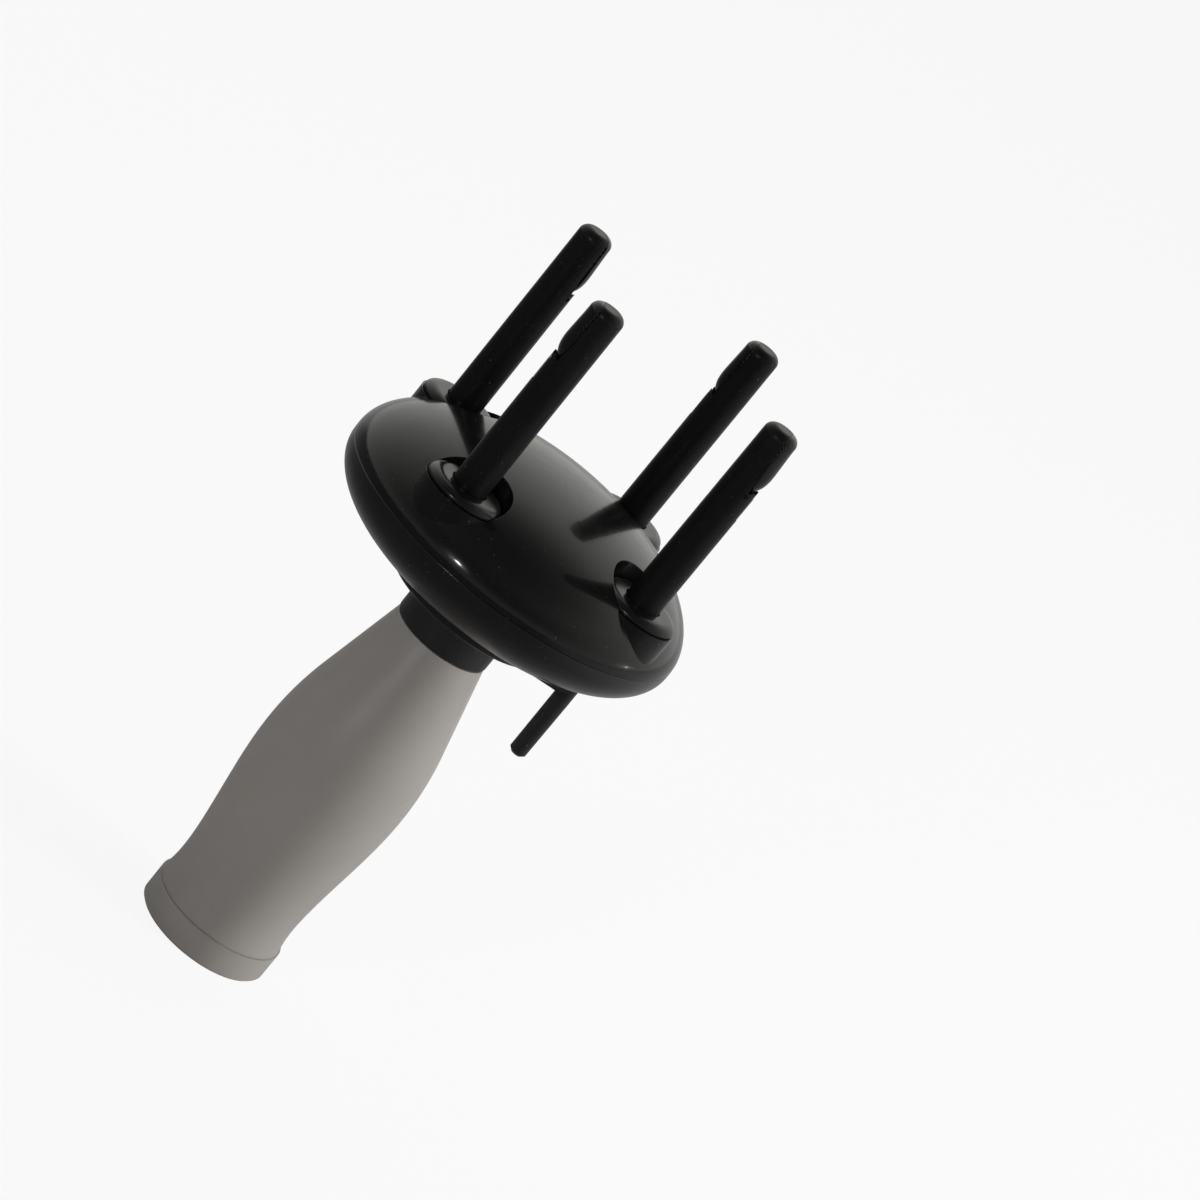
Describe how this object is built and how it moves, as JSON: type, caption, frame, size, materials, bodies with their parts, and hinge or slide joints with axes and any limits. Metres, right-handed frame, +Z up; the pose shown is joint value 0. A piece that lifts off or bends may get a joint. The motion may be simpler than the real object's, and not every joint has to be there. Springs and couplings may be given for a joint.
{
  "type": "cord maker",
  "caption": "Hand-cranked cord maker: a round gear pod on an upright grip, with spinning arms that end in small spring jaws.",
  "frame": {"origin": "centre of the grip's foot, on the surface it stands on", "axes": "+Z up along the grip and the arms; +X the way the crank arm points at rest, midway between arms 3 and 4"},
  "size_m": [0.1, 0.1, 0.2067],
  "materials": {
    "pod_black": "gloss",
    "arm_black": "satin",
    "jaw_black": "gloss",
    "grip_grey": "satin",
    "gear_nylon": "matte",
    "steel": "brushed",
    "spring_steel": "polished",
    "brass": "machined"
  },
  "bodies": {
    "frame": {"front_shell": "pod_black", "rear_shell": "pod_black", "shell_screws": "steel", "core_rod": "steel", "core_insert": "brass", "lock_nut": "steel", "upper_thrust_washer": "steel", "lower_thrust_washer": "steel", "handle_grip": "grip_grey", "handle_foot": "grip_grey", "foot_washer": "steel", "foot_nut": "steel", "foot_plug": "grip_grey", "bearing_cap_1": "pod_black", "bearing_cap_2": "pod_black", "bearing_cap_3": "pod_black", "bearing_cap_4": "pod_black"},
    "crank": {"crank_hub": "pod_black", "drive_gear": "gear_nylon", "gear_clip": "spring_steel", "crank_arm": "pod_black"},
    "spinner_1": {"spindle_1": "steel", "pinion_1": "gear_nylon", "spindle_clip_1": "spring_steel", "arm_1": "arm_black", "jaw_pin_1": "steel", "jaw_spring_1": "spring_steel"},
    "clip_jaw_1": {"jaw_1": "jaw_black"},
    "spinner_2": {"spindle_2": "steel", "pinion_2": "gear_nylon", "spindle_clip_2": "spring_steel", "arm_2": "arm_black", "jaw_pin_2": "steel", "jaw_spring_2": "spring_steel"},
    "clip_jaw_2": {"jaw_2": "jaw_black"},
    "spinner_3": {"spindle_3": "steel", "pinion_3": "gear_nylon", "spindle_clip_3": "spring_steel", "arm_3": "arm_black", "jaw_pin_3": "steel", "jaw_spring_3": "spring_steel"},
    "clip_jaw_3": {"jaw_3": "jaw_black"},
    "spinner_4": {"spindle_4": "steel", "pinion_4": "gear_nylon", "spindle_clip_4": "spring_steel", "arm_4": "arm_black", "jaw_pin_4": "steel", "jaw_spring_4": "spring_steel"},
    "clip_jaw_4": {"jaw_4": "jaw_black"}
  },
  "joints": [
    {"name": "crank_turn", "type": "hinge", "parent": "frame", "child": "crank", "pos_m": [0, 0, 0.1115], "axis": [0, 0, 1], "continuous": true},
    {"name": "arm_spin_1", "type": "hinge", "parent": "frame", "child": "spinner_1", "pos_m": [-0.02652, 0.02652, 0.1482], "axis": [0, 0, 1], "continuous": true},
    {"name": "arm_spin_2", "type": "hinge", "parent": "frame", "child": "spinner_2", "pos_m": [-0.02652, -0.02652, 0.1482], "axis": [0, 0, 1], "continuous": true},
    {"name": "arm_spin_3", "type": "hinge", "parent": "frame", "child": "spinner_3", "pos_m": [0.02652, 0.02652, 0.1482], "axis": [0, 0, 1], "continuous": true},
    {"name": "arm_spin_4", "type": "hinge", "parent": "frame", "child": "spinner_4", "pos_m": [0.02652, -0.02652, 0.1482], "axis": [0, 0, 1], "continuous": true},
    {"name": "jaw_open_1", "type": "hinge", "parent": "spinner_1", "child": "clip_jaw_1", "pos_m": [-0.02364, 0.02692, 0.1884], "axis": [-0.1392, 0.9903, 0], "range_deg": [0, 12], "stiffness_Nm_per_rad": 0.03, "springref_deg": -20.05, "deforming": ["jaw_spring_1"]},
    {"name": "jaw_open_2", "type": "hinge", "parent": "spinner_2", "child": "clip_jaw_2", "pos_m": [-0.02937, -0.02601, 0.1884], "axis": [-0.1736, -0.9848, 0], "range_deg": [0, 12], "stiffness_Nm_per_rad": 0.03, "springref_deg": -20.05, "deforming": ["jaw_spring_2"]},
    {"name": "jaw_open_3", "type": "hinge", "parent": "spinner_3", "child": "clip_jaw_3", "pos_m": [0.02385, 0.02765, 0.1884], "axis": [-0.3907, -0.9205, 0], "range_deg": [0, 12], "stiffness_Nm_per_rad": 0.03, "springref_deg": -20.05, "deforming": ["jaw_spring_3"]},
    {"name": "jaw_open_4", "type": "hinge", "parent": "spinner_4", "child": "clip_jaw_4", "pos_m": [0.02924, -0.02751, 0.1884], "axis": [0.342, 0.9397, 0], "range_deg": [0, 12], "stiffness_Nm_per_rad": 0.03, "springref_deg": -20.05, "deforming": ["jaw_spring_4"]}
  ],
  "couplings": [
    {"joint": "arm_spin_1", "follows": "crank_turn", "ratio": -4},
    {"joint": "arm_spin_2", "follows": "crank_turn", "ratio": -4},
    {"joint": "arm_spin_3", "follows": "crank_turn", "ratio": -4},
    {"joint": "arm_spin_4", "follows": "crank_turn", "ratio": -4}
  ]
}
